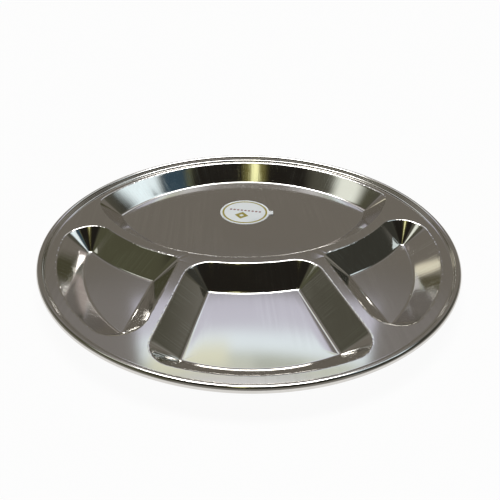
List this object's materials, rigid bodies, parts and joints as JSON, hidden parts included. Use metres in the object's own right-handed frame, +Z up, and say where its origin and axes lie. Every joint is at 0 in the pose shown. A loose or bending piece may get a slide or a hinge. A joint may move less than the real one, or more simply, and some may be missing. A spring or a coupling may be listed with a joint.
{
  "type": "divided compartment plate",
  "caption": "Round dinner plate pressed from sheet steel, with flat-bottomed pockets of differing size and a rolled rim.",
  "frame": {"origin": "the plate's centre, in the plane that the pocket floors rest on", "axes": "+Z up out of the pockets; -Y towards the small middle pocket; +Y towards the large pocket; +X to the right-hand side pocket"},
  "size_m": [0.3299, 0.33, 0.0194],
  "materials": {
    "steel": "mirror polished",
    "label_paper": "coated"
  },
  "bodies": {
    "root": {"plate": "steel", "label": "label_paper"}
  },
  "joints": []
}
